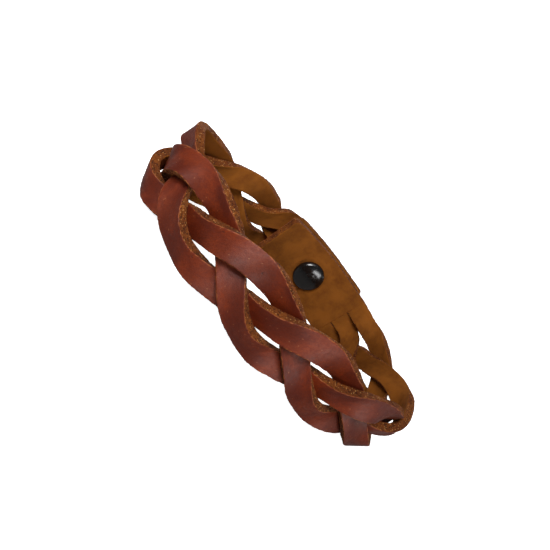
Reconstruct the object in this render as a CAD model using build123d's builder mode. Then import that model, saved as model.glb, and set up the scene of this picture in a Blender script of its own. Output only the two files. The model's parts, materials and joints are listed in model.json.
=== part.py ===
from build123d import *

import os
from math import ceil, cos, degrees, hypot, pi, radians, sin

# Braided leather wristband, closed by one snap fastener.
#
# The strap is cut lengthwise into three strands between two plain tabs, and the strands are plaited.
# Seen from above, the band runs anticlockwise: outer tab, back left wall, left bend, front wall, right
# bend, back right wall, inner tab. The outer tab lies over the inner one, and the snap joins them.
# The leather flexes, so each strand is made in three lengths, which meet at the two bends.
# Millimetres, +Z up. The origin is the middle of the band's footprint, on the surface that it rests on.

# Leather
STRAP_WIDTH = 19.05
LEATHER = 2.2
SLIT = 0.2
STRAND_WIDTH = (STRAP_WIDTH - 2 * SLIT) / 3
SLOT_STEP = STRAND_WIDTH + SLIT
MID_HEIGHT = STRAP_WIDTH / 2

# Braid
BRAID_PITCH = 66.0
CROSSINGS = 16
SWING = 6.25
RISE = 1.5
TILT = 0.4
WEAVE_START = 3.0
SPREAD_LENGTH = 11.0
RISE_LENGTH = 5.0
SECTION_STEP = 2.75
PHASE_AT_FIRST_CROSSING = {1: 180.0, 2: 60.0, 3: 300.0}
OUTER_SLOT = {1: -1, 2: 1, 3: 0}
INNER_SLOT = {1: 1, 2: 0, 3: -1}

# Unevenness of the plait at the left bend: the crossings come late there, and one strand stands proud
LATE_MIDDLE, LATE_REACH, LATE_BY = 48.0, 17.0, 4.5
PROUD_STRAND, PROUD_MIDDLE, PROUD_REACH, PROUD_BY = 1, 45.0, 8.0, 1.5

# Overlapping tabs: arcs about one centre, with angles counted from the snap towards the left
CLASP_CENTRE = Vector(8.75, -13.79)
SNAP_DIRECTION = 90.0
TAB_GAP = 2.6
INNER_RADIUS = 35.0
OUTER_RADIUS = INNER_RADIUS + LEATHER + TAB_GAP
INNER_TAB_ROOT, INNER_TAB_END = -29.0, 32.0
OUTER_TAB_ROOT, OUTER_TAB_END = 18.0, -25.0
TAB_CORNER = 1.2

# Bends of the braided length, from the outer tab's root to the inner tab's root: radius and turn.
# The two radii left open are worked out, so that both ends reach their tabs.
BENDS = {
    "back_left": (300.0, 5.6),
    "left_shoulder": (25.0, 28.9),
    "left_bend": (None, 77.0),
    "left_flank": (30.0, 23.8),
    "front": (None, 33.5),
    "right_flank": (31.2, 24.8),
    "right_bend": (16.2, 70.6),
    "right_shoulder": (23.7, 32.6),
    "back_right": (47.6, 16.2),
}

# Flexing
HINGE_OFFSET = 3.7
PEEL_OFFSET = LEATHER / 2
HINGE_CLEARANCE = 0.15

# Snap fastener
CAP_RADIUS = 5.0
CAP_HEIGHT = 2.3
CAP_EDGE = 0.7
CAP_SHOULDER_RADIUS = 4.2
CAP_SHOULDER_HEIGHT = 1.55
CAP_SINK = 0.3
SEAT_CLEARANCE = 0.05
POST_RADIUS = 1.0
POST_CLEARANCE = 0.05
FLARE_RADIUS = 1.7
FLARE_THICKNESS = 0.3
FLANGE_RADIUS = 3.7
FLANGE_THICKNESS = 0.6
FLANGE_SINK = 0.1
NECK_RADIUS = 1.7
BULB_RADIUS = 2.0
BULB_TIP_RADIUS = 1.3
BULB_HEIGHT = 1.25
SOCKET_RADIUS = 4.0
SOCKET_HEIGHT = 1.85
SOCKET_BASE = 0.4
MOUTH_RADIUS = 2.9
SPRING_WIRE = 0.3
PRESS_DEPTH = 4.0


# ---------------------------------------------------------------- the band's plan


def unit_arc(heading, turn):
    """Displacement along an arc of radius 1 that starts at a heading and turns left, in degrees."""
    first, last = radians(heading), radians(heading + turn)
    return Vector(sin(last) - sin(first), cos(first) - cos(last))


def clasp_point(radius, angle):
    """Point of the clasp's arcs, at an angle from the snap towards the left."""
    direction = radians(SNAP_DIRECTION + angle)
    return CLASP_CENTRE + Vector(cos(direction), sin(direction)) * radius


def close_plan():
    """List the bends as start point, heading, radius and turn, with the two open radii worked out."""
    heading = SNAP_DIRECTION + OUTER_TAB_ROOT + 90
    start = clasp_point(OUTER_RADIUS, OUTER_TAB_ROOT)
    missing = clasp_point(INNER_RADIUS, INNER_TAB_ROOT) - start
    headings, open_arcs = [], []
    for radius, turn in BENDS.values():
        headings.append(heading)
        if radius is None:
            open_arcs.append(unit_arc(heading, turn))
        else:
            missing -= unit_arc(heading, turn) * radius
        heading += turn
    first, second = open_arcs
    area = first.X * second.Y - first.Y * second.X
    open_radii = [
        (missing.X * second.Y - missing.Y * second.X) / area,
        (first.X * missing.Y - first.Y * missing.X) / area,
    ]
    plan, point = [], start
    for heading, (radius, turn) in zip(headings, BENDS.values()):
        radius = open_radii.pop(0) if radius is None else radius
        plan.append((point, heading, radius, turn))
        point += unit_arc(heading, turn) * radius
    return plan


PLAN = close_plan()
BEND_LENGTHS = dict(zip(BENDS, [radius * radians(turn) for _, _, radius, turn in PLAN]))
BRAID_LENGTH = sum(BEND_LENGTHS.values())
FIRST_CROSSING = (BRAID_LENGTH - (CROSSINGS - 1) * BRAID_PITCH / 6) / 2


def middle_of(bend):
    """Distance along the band to the middle of a bend."""
    names = list(BENDS)
    before = names[: names.index(bend)]
    return sum(BEND_LENGTHS[name] for name in before) + BEND_LENGTHS[bend] / 2


def station(along):
    """Plane across the band, some way along it from the outer tab's root: x outwards, y up."""
    for point, heading, radius, turn in PLAN:
        length = radius * radians(turn)
        if along <= length or (point, heading, radius, turn) == PLAN[-1]:
            break
        along -= length
    swept = degrees(along / radius)
    place = point + unit_arc(heading, swept) * radius
    ahead = radians(heading + swept)
    return Plane(
        origin=(place.X, place.Y, MID_HEIGHT),
        x_dir=(sin(ahead), -cos(ahead), 0),
        z_dir=(-cos(ahead), -sin(ahead), 0),
    )


# ---------------------------------------------------------------- the braid


def ease(share):
    """Smooth step from 0 to 1."""
    share = min(max(share, 0.0), 1.0)
    return share * share * (3 - 2 * share)


def hill(along, middle, reach):
    """Smooth hill from 0 to 1 at its middle and back."""
    return 0.5 + 0.5 * cos(pi * min(abs(along - middle) / reach, 1))


def woven(along, start, length):
    """How far the strands have left the tabs' straight slots, from 0 to 1."""
    return ease((along - start) / length) * ease((BRAID_LENGTH - along - start) / length)


def strand_phase(strand, along):
    """Angle of a strand in its weave, where 0 is at the band's top edge and 180 at its bottom edge."""
    late = LATE_BY * hill(along, LATE_MIDDLE, LATE_REACH)
    turns = (along - late - FIRST_CROSSING) / BRAID_PITCH
    return radians(PHASE_AT_FIRST_CROSSING[strand]) + 2 * pi * turns


def strand_side(strand, along):
    """Height of a strand's middle above the band's middle."""
    slots = OUTER_SLOT if along < BRAID_LENGTH / 2 else INNER_SLOT
    share = woven(along, WEAVE_START, SPREAD_LENGTH)
    return share * SWING * cos(strand_phase(strand, along)) + (1 - share) * slots[strand] * SLOT_STEP


def strand_corners(strand, along):
    """Corners of a strand's section, as outward distance and height in the plane across the band."""
    phase = strand_phase(strand, along)
    share = woven(along, 0, RISE_LENGTH)
    side = strand_side(strand, along)
    slope = (strand_side(strand, along + 0.1) - strand_side(strand, along - 0.1)) / 0.2
    proud = hill(along, PROUD_MIDDLE, PROUD_REACH) if strand == PROUD_STRAND else 0
    outward = PROUD_BY * proud - share * RISE * sin(2 * phase)
    tilt = share * TILT * sin(3 * phase)
    half_width = STRAND_WIDTH / 2 * hypot(1, slope)
    half_thick = LEATHER / 2 * hypot(1, tilt)
    return [
        (outward + tilt * v * half_width + u * half_thick, side + v * half_width)
        for u, v in ((-1, -1), (1, -1), (1, 1), (-1, 1))
    ]


LEFT_HINGE = middle_of("left_bend")
RIGHT_HINGE = middle_of("right_bend")
LENGTHS = {
    "left": (HINGE_CLEARANCE, LEFT_HINGE - HINGE_CLEARANCE),
    "front": (LEFT_HINGE + HINGE_CLEARANCE, RIGHT_HINGE - HINGE_CLEARANCE),
    "right": (RIGHT_HINGE + HINGE_CLEARANCE, BRAID_LENGTH),
}


def make_strand(strand, place):
    """Loft one length of a strand through its sections and write it."""
    first, last = LENGTHS[place]
    steps = ceil((last - first) / SECTION_STEP)
    with BuildPart() as length:
        for step in range(steps + 1):
            along = first + (last - first) * step / steps
            with BuildSketch(station(along)):
                with BuildLine():
                    Polyline(*strand_corners(strand, along), close=True)
                make_face()
        loft()
    name = f"strand_{strand}_{place}"
    length.part.label = name
    export_step(length.part, f"parts/{name}.step")


# ---------------------------------------------------------------- the tabs


SNAP_AXIS = Axis((CLASP_CENTRE.X, CLASP_CENTRE.Y, MID_HEIGHT), (0, 1, 0))
PROFILE_PLANE = Plane((CLASP_CENTRE.X, CLASP_CENTRE.Y, MID_HEIGHT))


def snap_plane(distance):
    """Plane across the snap's axis, at a distance from the clasp's centre, facing outwards."""
    return Plane(
        (CLASP_CENTRE.X, CLASP_CENTRE.Y + distance, MID_HEIGHT), x_dir=(1, 0, 0), z_dir=(0, 1, 0)
    )


def make_tab(name, radius, root, end, outer_seat, inner_seat):
    """Make a curved tab with rounded free corners, the rivet's hole and the two pressed seats.

    Each seat is the distance of its flat bottom from the clasp's centre, and its radius.
    """
    first, last = min(root, end), max(root, end)
    with BuildPart() as tab:
        with BuildSketch():
            with BuildLine():
                inside = CenterArc(
                    CLASP_CENTRE, radius - LEATHER / 2, SNAP_DIRECTION + first, last - first
                )
                outside = CenterArc(
                    CLASP_CENTRE, radius + LEATHER / 2, SNAP_DIRECTION + first, last - first
                )
                Line(inside @ 0, outside @ 0)
                Line(inside @ 1, outside @ 1)
            make_face()
        extrude(amount=STRAP_WIDTH)
        radial = clasp_point(1, end) - CLASP_CENTRE
        end_point = clasp_point(radius, end)
        corners = (
            tab.edges()
            .filter_by(Axis(tuple(CLASP_CENTRE), tuple(radial)))
            .sort_by_distance((end_point.X, end_point.Y, MID_HEIGHT))[:2]
        )
        fillet(corners, TAB_CORNER)
        with BuildSketch(snap_plane(radius - LEATHER)):
            Circle(POST_RADIUS + POST_CLEARANCE)
        extrude(amount=2 * LEATHER, mode=Mode.SUBTRACT)
        with BuildSketch(snap_plane(outer_seat[0])):
            Circle(outer_seat[1] + SEAT_CLEARANCE)
        extrude(amount=PRESS_DEPTH, mode=Mode.SUBTRACT)
        with BuildSketch(snap_plane(inner_seat[0])):
            Circle(inner_seat[1] + SEAT_CLEARANCE)
        extrude(amount=-PRESS_DEPTH, mode=Mode.SUBTRACT)
    tab.part.label = name
    export_step(tab.part, f"parts/{name}.step")


# ---------------------------------------------------------------- the snap

INNER_CAP_SEAT = INNER_RADIUS - LEATHER / 2 - SEAT_CLEARANCE
STUD_SEAT = INNER_RADIUS + LEATHER / 2 - FLANGE_SINK
SOCKET_SEAT = OUTER_RADIUS - LEATHER / 2 + SEAT_CLEARANCE
OUTER_CAP_SEAT = OUTER_RADIUS + LEATHER / 2 - CAP_SINK
SOCKET_MOUTH = SOCKET_SEAT - SOCKET_HEIGHT
FLARE_FACE = SOCKET_SEAT - SOCKET_BASE - FLARE_THICKNESS
BULB_TIP = STUD_SEAT + FLANGE_THICKNESS + BULB_HEIGHT


def make_cap(name, seat, facing, post_end, flared):
    """Revolve a domed cap with its rivet post.

    The dome rises from the seat in the facing direction, 1 outwards or -1 inwards.
    """
    top = seat + facing * CAP_HEIGHT
    shoulder = seat + facing * CAP_SHOULDER_HEIGHT
    edge = seat + facing * CAP_EDGE
    with BuildPart() as cap:
        with BuildSketch(PROFILE_PLANE):
            with BuildLine():
                crown = TangentArc((0, top), (CAP_SHOULDER_RADIUS, shoulder), tangent=(1, 0))
                TangentArc(crown @ 1, (CAP_RADIUS, edge), tangent=crown % 1)
                Polyline(
                    (CAP_RADIUS, edge), (CAP_RADIUS, seat), (POST_RADIUS, seat),
                    (POST_RADIUS, post_end), (0, post_end), (0, top),
                )
            make_face()
            if flared:
                flare_middle = post_end + facing * FLARE_THICKNESS / 2
                with Locations((FLARE_RADIUS / 2, flare_middle)):
                    Rectangle(FLARE_RADIUS, FLARE_THICKNESS)
        revolve(axis=SNAP_AXIS)
    cap.part.label = name
    export_step(cap.part, f"parts/{name}.step")


def make_stud():
    """Revolve the stud: a flange on the inner tab and a rounded bulb that enters the socket."""
    top = STUD_SEAT + FLANGE_THICKNESS
    bore = POST_RADIUS + POST_CLEARANCE
    with BuildPart() as stud:
        with BuildSketch(PROFILE_PLANE):
            with BuildLine():
                Polyline(
                    (bore, BULB_TIP), (bore, STUD_SEAT), (FLANGE_RADIUS, STUD_SEAT),
                    (FLANGE_RADIUS, top), (NECK_RADIUS, top),
                )
                ThreePointArc(
                    (NECK_RADIUS, top), (BULB_RADIUS, top + BULB_HEIGHT / 2), (BULB_TIP_RADIUS, BULB_TIP)
                )
                Line((BULB_TIP_RADIUS, BULB_TIP), (bore, BULB_TIP))
            make_face()
        revolve(axis=SNAP_AXIS)
    stud.part.label = "stud"
    export_step(stud.part, "parts/stud.step")


def make_socket():
    """Revolve the socket: a ring with a thin base against the outer tab."""
    bore = POST_RADIUS + POST_CLEARANCE
    base = SOCKET_SEAT - SOCKET_BASE
    with BuildPart() as socket:
        with BuildSketch(PROFILE_PLANE):
            with BuildLine():
                Polyline(
                    (bore, SOCKET_SEAT), (SOCKET_RADIUS, SOCKET_SEAT), (SOCKET_RADIUS, SOCKET_MOUTH),
                    (MOUTH_RADIUS, SOCKET_MOUTH), (MOUTH_RADIUS, base), (bore, base), close=True,
                )
            make_face()
        revolve(axis=SNAP_AXIS)
    socket.part.label = "socket"
    export_step(socket.part, "parts/socket.step")


def make_spring():
    """Revolve the round wire spring that sits against the socket's wall and grips the stud."""
    ring_radius = MOUTH_RADIUS - SPRING_WIRE
    with BuildPart() as spring:
        with BuildSketch(PROFILE_PLANE):
            with Locations((ring_radius, SOCKET_MOUTH + SPRING_WIRE)):
                Circle(SPRING_WIRE)
        revolve(axis=SNAP_AXIS)
    spring.part.label = "socket_spring"
    export_step(spring.part, "parts/socket_spring.step")


os.makedirs("parts", exist_ok=True)
for strand_number in PHASE_AT_FIRST_CROSSING:
    for part_of_band in LENGTHS:
        make_strand(strand_number, part_of_band)
make_tab(
    "inner_tab", INNER_RADIUS, INNER_TAB_ROOT, INNER_TAB_END,
    (STUD_SEAT, FLANGE_RADIUS), (INNER_CAP_SEAT, CAP_RADIUS),
)
make_tab(
    "outer_tab", OUTER_RADIUS, OUTER_TAB_ROOT - degrees(HINGE_CLEARANCE / OUTER_RADIUS), OUTER_TAB_END,
    (OUTER_CAP_SEAT, CAP_RADIUS), (SOCKET_SEAT, SOCKET_RADIUS),
)
make_cap("inner_cap", INNER_CAP_SEAT, -1, BULB_TIP, flared=False)
make_cap("outer_cap", OUTER_CAP_SEAT, 1, FLARE_FACE, flared=True)
make_stud()
make_socket()
make_spring()
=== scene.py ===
"""Braided leather wristband with one snap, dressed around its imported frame.

The hide is one strap cut into three plaited strands between two tabs. Each strand is skinned here as two
lengths, which meet under a crossing at the front, and each tab as one piece. Lengths are in millimetres
until a mesh is written, which is in metres.
"""

import json
import logging
from dataclasses import dataclass, field
from enum import Enum
from itertools import product

import bpy
import numpy as np
from mathutils import Matrix, Vector

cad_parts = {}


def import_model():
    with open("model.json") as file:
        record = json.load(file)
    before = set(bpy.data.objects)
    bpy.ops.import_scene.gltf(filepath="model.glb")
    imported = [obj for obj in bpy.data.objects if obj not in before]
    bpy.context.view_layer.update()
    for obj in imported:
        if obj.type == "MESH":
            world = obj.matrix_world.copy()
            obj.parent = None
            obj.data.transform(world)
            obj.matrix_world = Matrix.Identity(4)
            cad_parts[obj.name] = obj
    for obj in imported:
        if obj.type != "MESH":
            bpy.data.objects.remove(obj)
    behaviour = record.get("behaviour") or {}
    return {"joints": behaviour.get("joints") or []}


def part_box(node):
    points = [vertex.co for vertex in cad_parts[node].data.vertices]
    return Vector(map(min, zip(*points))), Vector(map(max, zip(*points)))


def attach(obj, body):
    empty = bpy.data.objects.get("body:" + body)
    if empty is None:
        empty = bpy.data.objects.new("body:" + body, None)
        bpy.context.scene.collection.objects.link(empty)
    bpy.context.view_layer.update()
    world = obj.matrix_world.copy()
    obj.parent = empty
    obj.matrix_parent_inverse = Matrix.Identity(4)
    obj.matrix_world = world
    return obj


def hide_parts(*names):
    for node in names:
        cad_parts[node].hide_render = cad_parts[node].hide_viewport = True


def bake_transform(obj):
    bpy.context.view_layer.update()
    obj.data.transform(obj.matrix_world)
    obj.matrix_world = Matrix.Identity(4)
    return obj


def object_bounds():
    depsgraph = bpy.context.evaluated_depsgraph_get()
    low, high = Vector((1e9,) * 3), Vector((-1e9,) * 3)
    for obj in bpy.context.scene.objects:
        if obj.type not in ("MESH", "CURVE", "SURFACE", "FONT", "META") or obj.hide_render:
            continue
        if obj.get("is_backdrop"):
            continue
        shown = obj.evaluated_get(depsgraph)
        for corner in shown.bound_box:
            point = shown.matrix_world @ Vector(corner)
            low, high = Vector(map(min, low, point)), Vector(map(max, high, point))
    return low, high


MM = 0.001
AT_SEAM = 1e-6
Shade = tuple[float, float, float, float]

log = logging.getLogger("wristband")


# ---------------------------------------------------------------- formulas


def ease(share: np.ndarray) -> np.ndarray:
    """Smooth step: 3t^2 - 2t^3, with t held between 0 and 1."""
    share = np.clip(share, 0.0, 1.0)
    return share * share * (3.0 - 2.0 * share)


def hill(along: np.ndarray, middle: float, reach: float) -> np.ndarray:
    """Smooth hill, 0 at its foot and 1 at its middle: half of 1 + cos(pi * distance / reach)."""
    return 0.5 + 0.5 * np.cos(np.pi * np.minimum(np.abs(along - middle) / reach, 1.0))


def unit_arc(heading: np.ndarray, turn: np.ndarray) -> np.ndarray:
    """Displacement along an arc of radius 1 that turns left: (sin b - sin a, cos a - cos b).

    Args:
        heading: Heading at the arc's start, a, in radians.
        turn: Angle turned, so that b is a + turn.

    Returns:
        Displacements, with x and y in the last axis.
    """
    last = heading + turn
    return np.stack([np.sin(last) - np.sin(heading), np.cos(heading) - np.cos(last)], axis=-1)


def tangent_arc(start: np.ndarray, end: np.ndarray, heading: np.ndarray, count: int) -> np.ndarray:
    """Points on the arc that leaves start along heading and passes through end.

    The arc turns by twice the angle between heading and chord, so after a share s of that turn its
    chord has the length 2r sin(s * half) and the direction heading + s * half.

    Args:
        start: First point, in two dimensions.
        end: Last point.
        heading: Unit direction at the first point.
        count: Number of points.

    Returns:
        The points, count by 2.
    """
    chord = end - start
    half = np.arctan2(heading[0] * chord[1] - heading[1] * chord[0], heading @ chord)
    radius = np.linalg.norm(chord) / (2 * np.sin(abs(half)))
    swept = np.linspace(0.0, 1.0, count) * half
    direction = np.arctan2(heading[1], heading[0]) + swept
    reach = 2 * radius * np.sin(np.abs(swept))
    return start + reach[:, None] * np.stack([np.cos(direction), np.sin(direction)], axis=-1)


def lattice_noise(places: np.ndarray, size: float, seed: int) -> np.ndarray:
    """Smooth noise from -1 to 1: scrambled values at the corners of a lattice, eased between them.

    Args:
        places: Points, count by 3.
        size: Spacing of the lattice.
        seed: Whole number that picks the pattern.

    Returns:
        One value for each point.
    """
    grid = places / size
    cell = np.floor(grid).astype(np.int64)
    share = ease(grid - cell)
    total = np.zeros(len(places))
    for corner in product((0, 1), repeat=3):
        weight = np.prod(np.where(corner, share, 1.0 - share), axis=1)
        spot = (cell + corner).astype(np.uint64)
        key = spot[:, 0] * np.uint64(73856093) ^ spot[:, 1] * np.uint64(19349663)
        key ^= spot[:, 2] * np.uint64(83492791) + np.uint64(seed * 2654435761)
        key = (key ^ (key >> np.uint64(15))) * np.uint64(2246822519)
        key = (key ^ (key >> np.uint64(13))) * np.uint64(3266489917)
        total += weight * ((key >> np.uint64(16)) % np.uint64(65536)).astype(float)
    return total / 32767.5 - 1.0


# ---------------------------------------------------------------- the band's plan


@dataclass(frozen=True)
class Strap:
    """The strap as it is cut: its width, thickness and the slits between its strands."""

    width: float = 19.05
    thickness: float = 2.2
    slit: float = 0.2
    corner: float = 0.3

    @property
    def strand_width(self) -> float:
        """Width of one strand."""
        return (self.width - 2 * self.slit) / 3

    @property
    def slot_step(self) -> float:
        """Distance between the middles of two strands beside each other."""
        return self.strand_width + self.slit


@dataclass(frozen=True)
class Bend:
    """A bend of the braided length: radius, None where it is worked out, and turn in degrees."""

    radius: float | None
    turn: float


@dataclass(frozen=True)
class Clasp:
    """The overlapping tabs: arcs about one centre, with angles from the snap towards the left."""

    centre: np.ndarray
    middle_height: float
    gap: float = 2.6
    inner_radius: float = 35.0
    inner_root: float = -29.0
    inner_end: float = 32.0
    outer_root: float = 18.0
    outer_end: float = -25.0
    tab_corner: float = 1.2
    fold_length: float = 6.5

    @property
    def outer_radius(self) -> float:
        """Radius of the outer tab's middle surface."""
        return self.inner_radius + Strap.thickness + self.gap

    def direction(self, angle: np.ndarray) -> np.ndarray:
        """Unit directions from the centre, at angles from the snap in degrees."""
        turned = np.radians(90.0 + np.asarray(angle, float))
        return np.stack([np.cos(turned), np.sin(turned)], axis=-1)


@dataclass(frozen=True)
class Stations:
    """Planes across the band: where they are and their outward directions."""

    origin: np.ndarray
    outward: np.ndarray


@dataclass
class BandPlan:
    """Plan of the braided length, anticlockwise from the outer tab's root to the inner tab's root."""

    clasp: Clasp
    bends: dict[str, Bend] = field(
        default_factory=lambda: {
            "back_left": Bend(300.0, 5.6),
            "left_shoulder": Bend(25.0, 28.9),
            "left_bend": Bend(None, 77.0),
            "left_flank": Bend(30.0, 23.8),
            "front": Bend(None, 33.5),
            "right_flank": Bend(31.2, 24.8),
            "right_bend": Bend(16.2, 70.6),
            "right_shoulder": Bend(23.7, 32.6),
            "back_right": Bend(47.6, 16.2),
        }
    )

    def __post_init__(self) -> None:
        """Work out the two open radii, so that both ends reach their tabs, and place every bend."""
        clasp = self.clasp
        turns = np.radians([bend.turn for bend in self.bends.values()])
        first_heading = np.radians(180.0 + clasp.outer_root)
        headings = first_heading + np.concatenate([[0.0], np.cumsum(turns)[:-1]])
        start = clasp.centre + clasp.outer_radius * clasp.direction(clasp.outer_root)
        finish = clasp.centre + clasp.inner_radius * clasp.direction(clasp.inner_root)
        steps = unit_arc(headings, turns)
        radii = np.array([bend.radius or 0.0 for bend in self.bends.values()])
        missing = finish - start - radii @ steps
        radii[radii == 0.0] = np.linalg.solve(steps[radii == 0.0].T, missing)
        self.headings, self.radii = headings, radii
        self.ends = np.cumsum(radii * turns)
        self.starts = np.concatenate([[0.0], self.ends[:-1]])
        moves = np.cumsum(radii[:, None] * steps, axis=0)
        self.points = start + np.concatenate([[[0.0, 0.0]], moves[:-1]])

    @property
    def length(self) -> float:
        """Length of the braided part, along its middle."""
        return float(self.ends[-1])

    def stations(self, along: np.ndarray) -> Stations:
        """Planes across the band at distances along it: each lies on its bend's arc.

        Args:
            along: Distances from the outer tab's root.

        Returns:
            The stations, with outward directions to the right of the heading.
        """
        bend = np.clip(np.searchsorted(self.ends, along), 0, len(self.ends) - 1)
        swept = (along - self.starts[bend]) / self.radii[bend]
        flat = self.points[bend] + self.radii[bend, None] * unit_arc(self.headings[bend], swept)
        ahead = self.headings[bend] + swept
        level = np.zeros(len(along))
        origin = np.column_stack([flat, level + self.clasp.middle_height])
        return Stations(origin, np.column_stack([np.sin(ahead), -np.cos(ahead), level]))


# ---------------------------------------------------------------- skinning a strip of hide


class Side(Enum):
    """The three kinds of surface on a piece of hide, as material slots."""

    GRAIN = 0
    FLESH = 1
    CUT_EDGE = 2


@dataclass(frozen=True)
class Section:
    """A rounded oblong section, as the border of a grid of places across and through the hide."""

    across: np.ndarray
    through: np.ndarray
    corner: float

    @staticmethod
    def graded(half: float, step: float, corner: float) -> np.ndarray:
        """Places from -1 to 1 over a side, evenly turned round its corners and even between them.

        Inside a corner of radius r the place is r (1 - tan a) from the end, with a from 45 degrees to 0.

        Args:
            half: Half the side's length.
            step: Spacing between the corners, about.
            corner: Radius of the corners.

        Returns:
            The places, as shares of the half length.
        """
        bent = corner * (1 - np.tan(np.radians(np.linspace(45, 0, 5))))
        even = np.linspace(corner, half, max(2, round((half - corner) / step)))[1:]
        inset = np.concatenate([bent, even])
        low = inset / half - 1
        return np.concatenate([low, -low[-2::-1]])

    @classmethod
    def of(cls, width: float, thickness: float, corner: float, step: float) -> "Section":
        """Section of a strip of a width and thickness, with points about a step apart."""
        across = cls.graded(width / 2, step, corner)
        through = cls.graded(thickness / 2, min(step, thickness / 12), corner)
        return cls(across, through, corner)

    def loop(self) -> tuple[np.ndarray, np.ndarray]:
        """Column and row in the grid of each border point: down the grain side, round and back up."""
        columns, rows = len(self.across), len(self.through)
        column = np.concatenate(
            [
                np.arange(columns - 1, -1, -1),
                np.zeros(rows - 1, int),
                np.arange(1, columns),
                np.full(rows - 2, columns - 1),
            ]
        )
        row = np.concatenate(
            [
                np.full(columns, rows - 1),
                np.arange(rows - 2, -1, -1),
                np.zeros(columns - 1, int),
                np.arange(1, rows - 1),
            ]
        )
        return column, row

    def sides(self) -> np.ndarray:
        """Material slot of each segment of the loop."""
        columns, rows = len(self.across) - 1, len(self.through) - 1
        kinds = (Side.GRAIN, Side.CUT_EDGE, Side.FLESH, Side.CUT_EDGE)
        return np.repeat([kind.value for kind in kinds], (columns, rows, columns, rows))


@dataclass
class Strip:
    """A strip of hide, station by station: where it runs, its sizes and its place in the flat strap."""

    origin: np.ndarray
    outward: np.ndarray
    upward: np.ndarray
    half_width: np.ndarray
    half_thick: np.ndarray
    along: np.ndarray
    offset: np.ndarray
    from_cut_end: np.ndarray
    from_seam: np.ndarray


def round_off(place: np.ndarray, half: np.ndarray, corner: float) -> np.ndarray:
    """Pull points of an oblong in to its rounded corners.

    A point further than the corner's radius from the oblong that is inset by it moves onto that radius.

    Args:
        place: Points, with the two directions in the last axis.
        half: The oblong's half sizes, shaped as place.
        corner: Radius of the corners.

    Returns:
        The moved points.
    """
    near = np.clip(place, corner - half, half - corner)
    away = place - near
    reach = np.maximum(np.linalg.norm(away, axis=-1, keepdims=True), 1e-9)
    return near + away * np.minimum(1.0, corner / reach)


@dataclass
class HideMesh:
    """Points, faces and surface facts of a skinned strip.

    free is 0 where a point stays put when the surface is roughened. lender is the point whose normal each
    point moves along, and flat marks the faces that close a seam.
    """

    points: np.ndarray
    faces: list[np.ndarray]
    sides: np.ndarray
    hide: np.ndarray
    border: np.ndarray
    free: np.ndarray
    lender: np.ndarray
    flat: np.ndarray


def skin(strip: Strip, section: Section) -> HideMesh:
    """Carry a section along a strip and close both ends with a grid.

    A point is origin + outward * t + upward * w, where (w, t) is the section's rounded place.

    Args:
        strip: The stations.
        section: The section that is carried along them.

    Returns:
        The mesh's arrays, in millimetres.
    """
    column, row = section.loop()
    count, around = len(strip.along), len(column)
    inner = np.array(
        [(c, r) for r in range(1, len(section.through) - 1) for c in range(1, len(section.across) - 1)]
    )
    station = np.concatenate(
        [np.repeat(np.arange(count), around), np.zeros(len(inner), int), np.full(len(inner), count - 1)]
    )
    across = section.across[np.concatenate([np.tile(column, count), inner[:, 0], inner[:, 0]])]
    through = section.through[np.concatenate([np.tile(row, count), inner[:, 1], inner[:, 1]])]
    half = np.stack([strip.half_width[station], strip.half_thick[station]], axis=-1)
    place = round_off(np.stack([across, through], axis=-1) * half, half, section.corner)
    points = (
        strip.origin[station]
        + strip.upward[station] * place[:, :1]
        + strip.outward[station] * place[:, 1:]
    )
    from_side = (1 - np.abs(across)) * half[:, 0]
    border = np.minimum(from_side, strip.from_cut_end[station])
    hide = np.column_stack([strip.along[station], strip.offset[station] + place[:, 0], place[:, 1]])

    here = np.arange(around)
    after = np.roll(here, -1)
    row_start = (np.arange(count - 1) * around)[:, None]
    walls = np.stack(
        [row_start + here, row_start + after, row_start + around + after, row_start + around + here],
        axis=-1,
    ).reshape(-1, 4)
    sides = [np.tile(section.sides(), count - 1)]
    faces, flat = [walls], [np.zeros(len(walls), bool)]
    for end, first_inner in ((0, count * around), (count - 1, count * around + len(inner))):
        grid = np.zeros((len(section.through), len(section.across)), int)
        grid[row, column] = end * around + here
        grid[1:-1, 1:-1] = first_inner + np.arange(len(inner)).reshape(grid[1:-1, 1:-1].shape)
        quads = np.stack([grid[:-1, :-1], grid[:-1, 1:], grid[1:, 1:], grid[1:, :-1]], axis=-1)
        quads = quads.reshape(-1, 4)
        faces.append(quads if end else quads[:, ::-1])
        sides.append(np.full(len(quads), Side.CUT_EDGE.value))
        flat.append(np.full(len(quads), strip.from_seam[end] < AT_SEAM))
    lender = np.arange(len(station))
    for end, beside in ((0, 1), (count - 1, count - 2)):
        if strip.from_seam[end] < AT_SEAM:
            lender[end * around + here] = beside * around + here
    free = (lender < count * around) | (strip.from_seam[station] > AT_SEAM)
    return HideMesh(points, faces, np.concatenate(sides), hide, border, free, lender, np.concatenate(flat))


@dataclass(frozen=True)
class Fray:
    """How rough the hide is, in millimetres: height and size of each layer of unevenness."""

    swell: tuple[float, float] = (0.07, 5.0)
    ripple: tuple[float, float] = (0.018, 0.9)
    fibre: tuple[float, float] = (0.085, 0.42)
    pit: tuple[float, float] = (0.28, 0.8)
    pit_level: float = 0.28
    edge_reach: float = 0.16

    def heights(self, hide: np.ndarray, border: np.ndarray) -> np.ndarray:
        """Distance that each point moves along its normal.

        Swell and ripple are noise over the whole piece. Fibre noise, and pits where coarser noise is
        over its level, fade away from the cut edges as exp(-distance / reach).

        Args:
            hide: Places in the flat strap.
            border: Distances from the nearest cut edge.

        Returns:
            The distances.
        """
        cut = np.exp(-border / self.edge_reach)
        height = self.swell[0] * lattice_noise(hide, self.swell[1], 1)
        height += self.ripple[0] * lattice_noise(hide, self.ripple[1], 2)
        height += cut * self.fibre[0] * lattice_noise(hide, self.fibre[1], 3)
        deep = np.maximum(lattice_noise(hide, self.pit[1], 4) - self.pit_level, 0.0)
        return height - cut * self.pit[0] * deep


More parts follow.
